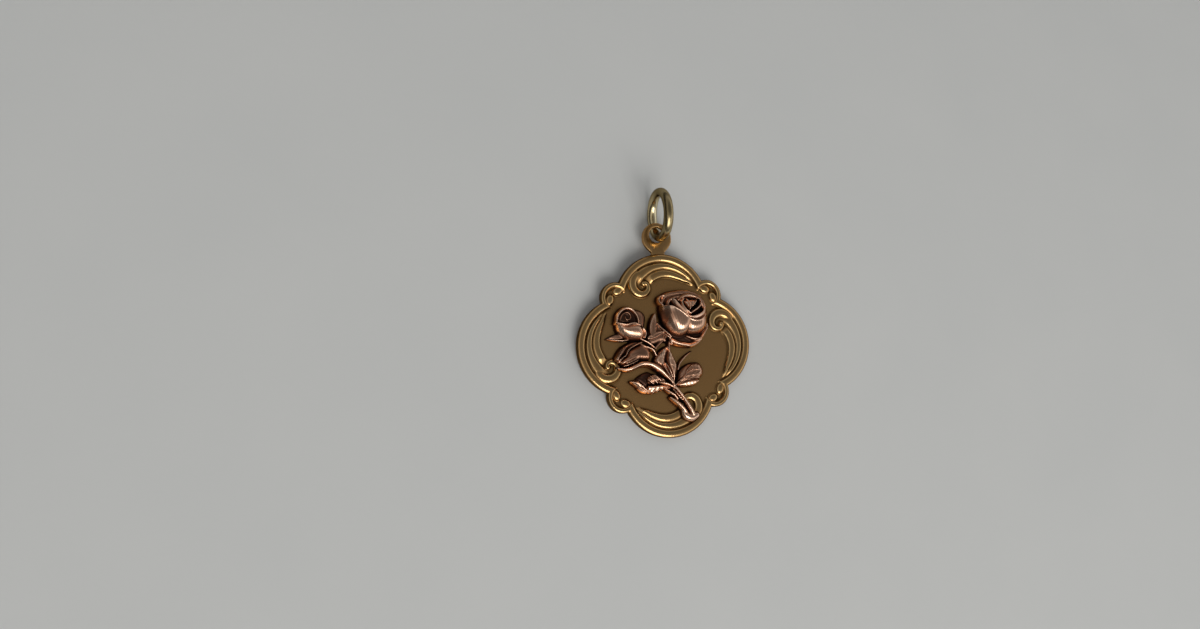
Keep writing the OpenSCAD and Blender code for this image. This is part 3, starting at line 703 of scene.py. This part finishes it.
def sampled(grid, low, step, x, y):
    """Value of a grid at any points, where low is the grid's first corner."""
    u = np.clip((x - low[0]) / step, 0, grid.shape[1] - 1.001)
    v = np.clip((y - low[1]) / step, 0, grid.shape[0] - 1.001)
    i, j = u.astype(int), v.astype(int)
    u, v = u - i, v - j
    low_side = grid[j, i] * (1 - u) + grid[j, i + 1] * u
    return low_side * (1 - v) + (grid[j + 1, i] * (1 - u) + grid[j + 1, i + 1] * u) * v


# Meshes

def added(name, data):
    """A new object in the scene."""
    thing = bpy.data.objects.new(name, data)
    bpy.context.scene.collection.objects.link(thing)
    return thing


def mesh_object(name, points, faces, tones_and_shade):
    """A smooth mesh object from points in metres, faces, and values of toning and painted shade, which its
    material reads.
    """
    mesh = bpy.data.meshes.new(name)
    mesh.from_pydata(points.tolist(), [], faces)
    layer = mesh.attributes.new("patina_and_shade", "FLOAT", "POINT")
    layer.data.foreach_set("value", np.asarray(tones_and_shade, np.float32))
    mesh.validate()
    mesh.shade_smooth()
    mesh.update()
    return added(name, mesh)


def loop_faces(rings, n):
    """Quads between successive closed rings of n points, each ring starting at the given index."""
    i = np.arange(n)
    j = (i + 1) % n
    quads = [np.c_[a + i, b + i, b + j, a + j] for a, b in zip(rings[:-1], rings[1:])]
    return np.vstack(quads).tolist()


def turns(n):
    """Angles of n equal steps round a circle."""
    return np.arange(n) * 2 * math.pi / n


# Grid on which the plate's relief is softened and its hollows are found
RELIEF_STEP = 0.03
RELIEF_HALF = 10.2
# The plate's toning by how far the relief lies below its surroundings, then painted shade beside the spray and
# down the outer flank from that share of the outline's distance on
GROOVE_TONE = 3.2
BESIDE_SHADE = 0.45
RIM_FLANK_SHADE = 0.4
RIM_FLANK = 0.975
EDGE_ROUND = 0.06
PLATE_TURNS = 960
# Blurs of the relief, of its surroundings and of the spray's shade, in grid cells
RELIEF_BLUR, AROUND_BLUR, BESIDE_BLUR = 1, 6, 9
# Distances of the plate's rings of points from its middle, as shares of the outline's distance
PLATE_RINGS = np.r_[np.linspace(0.06, 0.42, 5), np.linspace(0.46, 1.0, 84)]


def plate_grids():
    """The softened relief on a grid, and how dark each point of it is, with toning for lying low and painted
    shade beside the spray.
    """
    along = np.arange(-RELIEF_HALF, RELIEF_HALF, RELIEF_STEP)
    x, y = np.meshgrid(along, along)
    relief = blurred(plate_relief(x, y), RELIEF_BLUR)
    # Painted shade on the field beside the spray
    spray = blurred((spray_height(x, y)[0] > SPRAY_FOOT) * 1.0, BESIDE_BLUR)
    darkening = (blurred(relief, AROUND_BLUR) - relief) / RELIEF_H
    return relief, GROOVE_TONE * darkening + BESIDE_SHADE * spray


def plate_mesh():
    """The plate: rings of points over the relief, down the edge and over the back."""
    n = PLATE_TURNS
    relief, darkening = plate_grids()
    corner = (-RELIEF_HALF, -RELIEF_HALF)
    angle = turns(n) + math.pi / 2
    edge = outline_radius(angle)
    direction = np.c_[np.cos(angle), np.sin(angle)]
    points, tones_and_shade = [[[0, 0, FIELD_T]]], [np.full(1, BODY_TONE)]
    for share in PLATE_RINGS:
        xy = direction * (edge * share)[:, None]
        x, y = xy.T
        points.append(np.c_[xy, FIELD_T + sampled(relief, corner, RELIEF_STEP, x, y)])
        # Painted shade down the rim's outer flank
        flank = RIM_FLANK_SHADE * smooth(RIM_FLANK, 1.0, share)
        tones_and_shade.append(np.clip(BODY_TONE + sampled(darkening, corner, RELIEF_STEP, x, y) + flank, 0, 1))
    # The rounded edge, all in painted shade
    for inset, z in ((0.0, EDGE_ROUND), (EDGE_ROUND, 0.0)):
        points.append(np.c_[direction * (edge - inset)[:, None], np.full(n, z)])
        tones_and_shade.append(np.full(n, BODY_TONE + RIM_FLANK_SHADE))
    points.append([[0, 0, 0]])
    tones_and_shade.append(np.zeros(1))
    points = np.vstack(points)
    rings = [1 + n * k for k in range(len(PLATE_RINGS) + 2)]
    i = np.arange(n)
    j = (i + 1) % n
    faces = np.c_[np.zeros(n, int), 1 + i, 1 + j].tolist()
    faces += loop_faces(rings, n)
    faces += np.c_[rings[-1] + i, np.full(n, len(points) - 1), rings[-1] + j].tolist()
    return mesh_object("struck_plate", placed(points), faces, np.concatenate(tones_and_shade))


def spray_tone_and_shade(rise, tone_and_shade, solid):
    """How dark each point of the spray's grid is: toning, and painted shade from the tables, at its edge and
    low on its flanks.
    """
    tones_and_shade = SPRAY_SUNK_TONE * (blurred(rise, SUNK_BLUR) - rise) + SPRAY_TONE
    # Painted shade low on the spray's flanks, then round its edge
    tones_and_shade = tones_and_shade + TABLE_TONE_AND_SHADE * blurred(tone_and_shade, TABLE_BLUR) + FLANK_SHADE * (1 - smooth(*FLANK_H, rise))
    edge = np.clip(EDGE_FULL - blurred(solid * 1.0, EDGE_BLUR), 0, 1)
    return np.clip(tones_and_shade + EDGE_SHADE * edge, 0, 1)


def solid_cells(solid):
    """The grid's cells with four solid corners. Cells that touch only at a corner are joined by a neighbour."""
    cells = solid[:-1, :-1] & solid[1:, :-1] & solid[:-1, 1:] & solid[1:, 1:]
    for _ in range(3):
        cells[1:, :-1] |= cells[:-1, :-1] & cells[1:, 1:] & ~cells[:-1, 1:]
        cells[:-1, :-1] |= cells[1:, :-1] & cells[:-1, 1:] & ~cells[1:, 1:]
    return cells


def outline_edges(cells, index):
    """The edges round the solid cells, as pairs of the grid's point numbers."""
    padded = np.pad(cells, 1)
    sides = (
        (padded[:-2, 1:-1], index[:-1, :-1], index[:-1, 1:]),
        (padded[2:, 1:-1], index[1:, 1:], index[1:, :-1]),
        (padded[1:-1, :-2], index[1:, :-1], index[:-1, :-1]),
        (padded[1:-1, 2:], index[:-1, 1:], index[1:, 1:]),
    )
    return np.vstack([np.c_[p[cells & ~there], q[cells & ~there]] for there, p, q in sides])


def smoothed_outline(flat, edges):
    """The points, with those on the outline drawn towards their neighbours on it."""
    ends = np.unique(edges)
    count = np.bincount(edges.ravel(), minlength=len(flat))[ends, None]
    for _ in range(OUTLINE_PASSES):
        drawn = np.zeros_like(flat)
        np.add.at(drawn, edges[:, 0], flat[edges[:, 1]])
        np.add.at(drawn, edges[:, 1], flat[edges[:, 0]])
        flat[ends] = 0.5 * flat[ends] + 0.5 * drawn[ends] / count
    return flat


def spray_mesh():
    """The spray: a closed sheet on a grid, with its underside on the plate's relief."""
    nx = round((SPRAY_MAX[0] - SPRAY_MIN[0]) / SPRAY_STEP)
    ny = round((SPRAY_MAX[1] - SPRAY_MIN[1]) / SPRAY_STEP)
    along = SPRAY_MIN[0] + SPRAY_STEP * np.arange(nx + 1)
    x, y = np.meshgrid(along, SPRAY_MIN[1] + SPRAY_STEP * np.arange(ny + 1))
    rise, tone_and_shade = spray_height(x, y)
    solid = blurred(rise, 1) > SPRAY_FOOT
    rise = (1 - SPRAY_SOFT) * rise + SPRAY_SOFT * blurred(rise, 1, 1)
    cells = solid_cells(solid)
    index = np.arange((nx + 1) * (ny + 1)).reshape(ny + 1, nx + 1)
    edges = outline_edges(cells, index)
    flat = smoothed_outline(np.c_[x.ravel(), y.ravel()], edges)
    seat = FIELD_T + SEAT_GAP
    under = seat + plate_relief(flat[:, 0], flat[:, 1])
    top = seat + sampled(rise, SPRAY_MIN, SPRAY_STEP, flat[:, 0], flat[:, 1])
    top = np.maximum(top, under + SPRAY_LEAST)
    points = np.vstack([np.c_[flat, top], np.c_[flat, under]])
    # The underside is fully dark, so the walls down to it carry painted shade round the spray's foot
    tones_and_shade = np.r_[spray_tone_and_shade(rise, tone_and_shade, solid).ravel(), np.ones(len(flat))]
    a, b = index[:-1, :-1][cells], index[:-1, 1:][cells]
    c, d = index[1:, 1:][cells], index[1:, :-1][cells]
    p, q = edges.T
    faces = np.vstack([
        np.c_[a, b, c, d],
        np.c_[a, d, c, b] + len(flat),
        np.c_[q, p, p + len(flat), q + len(flat)],
    ])
    used = np.unique(faces)
    renumber = np.full(len(points), -1)
    renumber[used] = np.arange(len(used))
    return mesh_object("rose_spray_relief", placed(points[used]), renumber[faces].tolist(), tones_and_shade[used])


LUG_TURNS = 144
LUG_TONE = 0.22
# Rounding of the lug's edges, and of the corners where its eye, neck and foot meet
LUG_SOFT = 0.13
LUG_BLEND = 0.2
# How far out from the hole's middle its outline is looked for
LUG_REACH = 3.2
LUG_STEPS = 1600
# The lug's section, from the hole's wall over the top to the outline and back below: share of the way from the
# hole to the outline, then the shift outwards and the height above the low or below the high side, in roundings
LUG_SECTION = (
    (0.0, 0.0, 1.0, "low"), (0.0, 0.0, 1.0, "high"), (0.0, 0.3, 0.3, "high"), (0.0, 1.0, 0.0, "high"),
    (0.5, 0.0, 0.0, "high"), (1.0, -1.0, 0.0, "high"), (1.0, -0.3, 0.3, "high"), (1.0, 0.0, 1.0, "high"),
    (1.0, 0.0, 1.0, "low"), (1.0, -0.3, 0.3, "low"), (1.0, -1.0, 0.0, "low"), (0.0, 1.0, 0.0, "low"),
    (0.0, 0.3, 0.3, "low"),
)


def joined(p, q):
    """Signed distance to two shapes together, with a rounded corner between them."""
    return np.minimum(p, q) - np.maximum(LUG_BLEND - np.abs(p - q), 0) ** 2 / (4 * LUG_BLEND)


def lug_outline(angle):
    """Distance from the middle of the lug's hole to its outline in each direction."""
    away = np.linspace(LUG_HOLE_R, LUG_REACH, LUG_STEPS)
    x = away[:, None] * np.cos(angle)
    y = LUG_HOLE_Y + away[:, None] * np.sin(angle)
    eye = np.hypot(x, y - LUG_Y) - LUG_R
    half = NECK_LOW + (NECK_HIGH - NECK_LOW) * (y - TIP_R) / (NECK_TOP - TIP_R)
    neck = np.maximum(np.abs(x) - half, np.maximum(FOOT_LOW - y, y - NECK_TOP))
    foot = np.maximum(np.hypot(x, y - FOOT_Y) - FOOT_R, FOOT_LOW - y)
    inside = np.cumprod(joined(joined(eye, neck), foot) < 0, axis=0).sum(axis=0)
    return away[np.clip(inside, 1, LUG_STEPS - 1)]


def lug_mesh():
    """The lug: its section swept round the hole."""
    n = LUG_TURNS
    angle = turns(n)
    outer = lug_outline(angle)
    points = []
    for share, shift, rise, side in LUG_SECTION:
        r = LUG_HOLE_R + (outer - LUG_HOLE_R) * share + LUG_SOFT * shift
        z = FIELD_T - LUG_SOFT * rise if side == "high" else FIELD_T - LUG_T + LUG_SOFT * rise
        points.append(np.c_[r * np.cos(angle), LUG_HOLE_Y + r * np.sin(angle), np.full(n, z)])
    points = placed(np.vstack(points))
    rings = [n * k for k in range(len(LUG_SECTION))] + [0]
    return mesh_object("lug", points, loop_faces(rings, n), np.full(len(points), LUG_TONE))


RING_TURNS = 160
WIRE_TURNS = 32
# The wire's tone, then painted light and shade: how much lighter it is on the right,
# and how much darker on the upper half of the ring
RING_TONE = 0.40
RING_SIDE_SHADE = 0.30
RING_HIGH_SHADE = 0.30


def ring_mesh():
    """The jump ring: the wire's section swept round the eye that the ring_eye mount gives."""
    mid = (RING_D - WIRE_D) / 2
    section = turns(WIRE_TURNS)
    outwards = (WIRE_D / 2 * np.cos(section))[:, None]
    sideways = (WIRE_W / 2 * np.sin(section))[:, None] * PLATE_X
    points, tones_and_shade = [], []
    for turn in turns(RING_TURNS):
        out = math.cos(turn) * PLATE_Y + math.sin(turn) * PLATE_Z
        points.append(RING_AT + MM * ((mid + outwards) * out + sideways))
        # Painted light on the wire's right side and painted shade on the ring's upper half
        tone_and_shade = RING_TONE - RING_SIDE_SHADE * np.sin(section) + RING_HIGH_SHADE * math.sin(turn)
        tones_and_shade.append(np.clip(tone_and_shade, 0, 1))
    rings = [WIRE_TURNS * k for k in range(RING_TURNS)] + [0]
    faces = loop_faces(rings, WIRE_TURNS)
    return mesh_object("jump_ring_wire", np.vstack(points), faces, np.concatenate(tones_and_shade))


# Materials

class Nodes:
    """Adds and joins the nodes of one material or world."""

    def __init__(self, owner):
        owner.use_nodes = True
        self.tree = owner.node_tree
        self.tree.nodes.clear()

    def add(self, kind, inputs=None, **settings):
        node = self.tree.nodes.new(kind)
        for key, value in settings.items():
            setattr(node, key, value)
        for key, value in (inputs or {}).items():
            if isinstance(value, bpy.types.NodeSocket):
                self.tree.links.new(value, node.inputs[key])
            else:
                node.inputs[key].default_value = value
        return node

    def maths(self, operation, a, b):
        return self.add("ShaderNodeMath", {0: a, 1: b}, operation=operation).outputs[0]

    def dot(self, a, b):
        node = self.add("ShaderNodeVectorMath", {0: a, 1: b}, operation="DOT_PRODUCT")
        return node.outputs["Value"]

    def noise(self, vector, scale, detail, rough):
        inputs = {"Vector": vector, "Scale": scale, "Detail": detail, "Roughness": rough}
        return self.add("ShaderNodeTexNoise", inputs).outputs["Fac"]

    def spread(self, value, low, high, to_low, to_high):
        limits = {0: value, 1: low, 2: high, 3: to_low, 4: to_high}
        return self.add("ShaderNodeMapRange", limits).outputs[0]

    def blend(self, share, a, b):
        return self.add("ShaderNodeMix", {0: share, 6: a, 7: b}, data_type="RGBA").outputs[2]


def ramped(ramp, stops):
    """Gives a colour ramp its stops, as rows of place and colour."""
    elements = ramp.color_ramp.elements
    for k, (place, colour) in enumerate(stops):
        stop = elements[k] if k < 2 else elements.new(place)
        stop.position = place
        stop.color = (*colour, 1)


# Noise of the metal's worn patches and of its handling marks: scale per m, detail, roughness
PATCHES = (450.0, 4.0, 0.6)
MARKS = (5200.0, 3.0, 0.6)
# Middle part of the noise's values, and how much more toning a patch has at its two ends
NOISE_PART = (0.3, 0.7)
PATCH_TONES = (-0.06, 0.08)
# Shares of the marks and of the patches in the bump, and its depth
MARK_SHARE = 0.6
PATCH_SHARE = 0.5
MARK_DEPTH = 0.03 * MM
# The metals' reflection where they are seen edge on
GRAZING = (0.45, 0.42, 0.40, 1)


def metal(name, crest, body, darkest, rough, grain):
    """Worn gold: polished on the high spots, with toning in the hollows, fine handling marks and painted shade.

    rough is the roughness at the two ends of the patches, then how much more there is where toning and painted
    shade are full.
    """
    material = bpy.data.materials.new(name)
    n = Nodes(material)
    place = n.add("ShaderNodeTexCoord").outputs["Object"]
    patches = n.noise(place, *PATCHES)
    marks = n.noise(place, *MARKS)
    patina_and_shade = n.add("ShaderNodeAttribute", attribute_name="patina_and_shade").outputs["Fac"]
    tone_and_shade = n.maths("ADD", patina_and_shade, n.spread(patches, *NOISE_PART, *PATCH_TONES))
    ramp = n.add("ShaderNodeValToRGB", {0: tone_and_shade})
    ramped(ramp, ((0.0, crest), (BODY_TONE, body), (1.0, darkest)))
    gloss = n.spread(patches, *NOISE_PART, *rough[:2])
    gloss = n.maths("ADD", gloss, n.maths("MULTIPLY", patina_and_shade, rough[2]))
    height = n.maths("ADD", n.maths("MULTIPLY", marks, MARK_SHARE), n.maths("MULTIPLY", patches, PATCH_SHARE))
    bump = n.add("ShaderNodeBump", {"Strength": grain, "Distance": MARK_DEPTH, "Height": height}).outputs[0]
    shader = n.add("ShaderNodeBsdfPrincipled", {
        "Base Color": ramp.outputs[0], "Metallic": 1.0, "Roughness": gloss, "Normal": bump,
        "Specular Tint": GRAZING,
    })
    n.add("ShaderNodeOutputMaterial", {"Surface": shader.outputs[0]})
    return material


FIBRES = (900.0, 6.0, 0.65)
FIBRE_DEPTH = 0.08 * MM
CLOUDS = (60.0, 3.0, 0.5)
PAPER_COLOURS = ((0.60, 0.61, 0.60, 1), (0.64, 0.645, 0.63, 1))


def paper():
    """Matt pale paper with fine fibres and slightly uneven colour."""
    material = bpy.data.materials.new("paper")
    n = Nodes(material)
    place = n.add("ShaderNodeTexCoord").outputs["Object"]
    colour = n.blend(n.noise(place, *CLOUDS), *PAPER_COLOURS)
    fibres = {"Strength": 0.25, "Distance": FIBRE_DEPTH, "Height": n.noise(place, *FIBRES)}
    bump = n.add("ShaderNodeBump", fibres).outputs[0]
    shader = n.add("ShaderNodeBsdfPrincipled", {"Base Color": colour, "Roughness": 0.9, "Normal": bump})
    n.add("ShaderNodeOutputMaterial", {"Surface": shader.outputs[0]})
    return material


# Scene

def make_camera():
    """The camera, from its place and directions in the plate's frame."""
    data = bpy.data.cameras.new("camera")
    data.lens, data.sensor_width = LENS, SENSOR
    data.clip_start, data.clip_end = 0.005, 5.0
    camera = added("camera", data)
    look = Vector(directed(CAMERA_LOOK)).normalized()
    right = look.cross(Vector(directed(CAMERA_UP))).normalized()
    up = right.cross(look)
    turn = Matrix((right, up, -look)).transposed().to_4x4()
    camera.matrix_world = Matrix.Translation(placed([CAMERA_AT])[0]) @ turn
    bpy.context.scene.camera = camera


def area_light(name, direction, distance, size, power, colour):
    """A square light in a direction given as azimuth from -y and elevation, facing the pendant."""
    azimuth, elevation = (math.radians(v) for v in direction)
    level = math.cos(elevation)
    away = Vector((math.sin(azimuth) * level, -math.cos(azimuth) * level, math.sin(elevation)))
    data = bpy.data.lights.new(name, "AREA")
    data.shape, data.size, data.energy, data.color = "SQUARE", size, power, colour
    lamp = added(name, data)
    lamp.matrix_world = Matrix.Translation(away * distance) @ away.to_track_quat("Z", "Y").to_matrix().to_4x4()


# The room's light by the cosine of the angle from its dark upper part, then its share on the dim and on the
# bright side, and the cosines of the angle from the bright side between which that share changes
DARK_WAY = (0.32, 0.10, 0.94)
ROOM_LIGHT = ((0.0, 0.08), (0.28, 0.18), (0.56, 0.95), (0.76, 0.62), (0.90, 0.25), (1.0, 0.21))
BRIGHT_SIDE = (0.34, -0.94, 0.0)
SIDE_SHARE = (0.50, 1.20)
SIDE_PART = (-0.7, 0.8)


def make_world():
    """Soft light from the whole room, all round the pendant."""
    world = bpy.data.worlds.new("studio")
    bpy.context.scene.world = world
    n = Nodes(world)
    way = n.add("ShaderNodeTexCoord").outputs["Generated"]
    share = n.spread(n.dot(way, BRIGHT_SIDE), *SIDE_PART, *SIDE_SHARE)
    ramp = n.add("ShaderNodeValToRGB", {0: n.dot(way, DARK_WAY)})
    ramp.color_ramp.interpolation = "EASE"
    ramped(ramp, [(place, (level, level, level)) for place, level in ROOM_LIGHT])
    back = n.add("ShaderNodeBackground", {"Color": ramp.outputs[0], "Strength": share})
    n.add("ShaderNodeOutputWorld", {"Surface": back.outputs[0]})


def make_floor():
    """The sheet of paper that the pendant lies on."""
    half = 0.6
    corners = [(-half, -half, 0), (half, -half, 0), (half, half, 0), (-half, half, 0)]
    mesh = bpy.data.meshes.new("paper_floor")
    mesh.from_pydata(corners, [], [(0, 1, 2, 3)])
    floor = added("paper_floor", mesh)
    mesh.materials.append(paper())


make_camera()
make_world()
make_floor()
area_light("window", direction=(4, 45), distance=0.5, size=0.30, power=1.15, colour=(1.0, 0.985, 0.96))

gold = metal(
    "struck_gold", crest=(0.57, 0.37, 0.16), body=(0.54, 0.30, 0.115), darkest=(0.08, 0.042, 0.012),
    rough=(0.14, 0.22, 0.20), grain=0.5)
rose_gold = metal(
    "rose_gold", crest=(0.88, 0.58, 0.41), body=(0.50, 0.27, 0.17), darkest=(0.045, 0.021, 0.015),
    rough=(0.15, 0.23, 0.24), grain=0.5)
pale_gold = metal(
    "ring_gold", crest=(0.80, 0.70, 0.46), body=(0.60, 0.48, 0.27), darkest=(0.17, 0.125, 0.055),
    rough=(0.12, 0.18, 0.1), grain=0.3)

PIECES = (
    (plate_mesh(), "plate", "gold", gold),
    (lug_mesh(), "plate", "gold", gold),
    (spray_mesh(), "rose_spray", "rose_gold", rose_gold),
    (ring_mesh(), "jump_ring", "pale_gold", pale_gold),
)
for piece, node, slot, material in PIECES:
    piece.data.materials.append(material)
    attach(piece, "root")
    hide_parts(node)

bpy.context.scene.view_settings.view_transform = "Standard"
